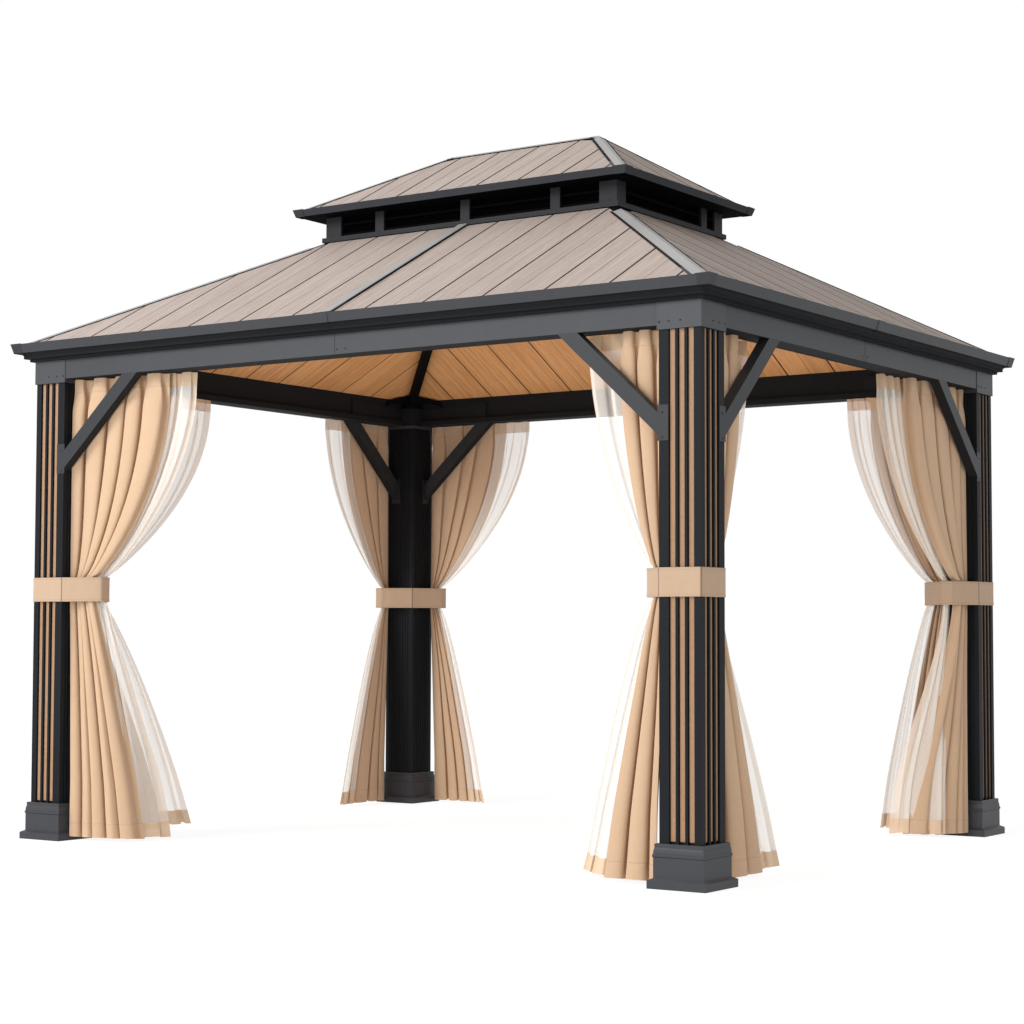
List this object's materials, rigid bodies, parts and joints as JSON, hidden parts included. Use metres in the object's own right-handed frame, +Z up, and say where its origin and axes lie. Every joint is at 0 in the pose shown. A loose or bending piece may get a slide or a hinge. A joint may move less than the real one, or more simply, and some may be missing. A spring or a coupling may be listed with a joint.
{
  "type": "metal gazebo",
  "caption": "Rectangular hardtop garden gazebo with slotted posts, two-tier wood-look hip roof, knee braces and tied-back curtains.",
  "frame": {"origin": "centre of the footprint at ground level", "axes": "+X along the long side, +Y from the front long side to the back, +Z up"},
  "size_m": [3.682, 3.01, 3.244],
  "materials": {
    "frame_metal": "satin powder coat, dark grey",
    "roof_boards": "printed wood grain on steel, matt",
    "roof_trim": "satin grey",
    "wood_look_strip": "printed wood grain, matt",
    "curtain_fabric": "woven polyester with sheer net",
    "tie_fabric": "woven polyester band"
  },
  "bodies": {
    "root": {"beam_back": "frame_metal", "beam_front": "frame_metal", "beam_left": "frame_metal", "beam_right": "frame_metal", "boot_front_left": "frame_metal", "boot_front_right": "frame_metal", "boot_rear_left": "frame_metal", "boot_rear_right": "frame_metal", "curtains_front_left": "curtain_fabric", "curtains_front_right": "curtain_fabric", "curtains_rear_left": "curtain_fabric", "curtains_rear_right": "curtain_fabric", "gutter_back": "frame_metal", "gutter_front": "frame_metal", "gutter_left": "frame_metal", "gutter_right": "frame_metal", "knee_braces": "frame_metal", "post_front_left": "frame_metal", "post_front_right": "frame_metal", "post_head_front_left": "frame_metal", "post_head_front_right": "frame_metal", "post_head_rear_left": "frame_metal", "post_head_rear_right": "frame_metal", "post_infills": "wood_look_strip", "post_rear_left": "frame_metal", "post_rear_right": "frame_metal", "rafters": "frame_metal", "roof_back": "roof_boards", "roof_caps": "roof_trim", "roof_front": "roof_boards", "roof_left": "roof_boards", "roof_right": "roof_boards", "tie_band_front_left": "tie_fabric", "tie_band_front_right": "tie_fabric", "tie_band_rear_left": "tie_fabric", "tie_band_rear_right": "tie_fabric", "upper_eave": "frame_metal", "upper_roof_back": "roof_boards", "upper_roof_front": "roof_boards", "upper_roof_left": "roof_boards", "upper_roof_right": "roof_boards", "vent_back": "frame_metal", "vent_front": "frame_metal", "vent_left": "frame_metal", "vent_right": "frame_metal"}
  },
  "joints": []
}
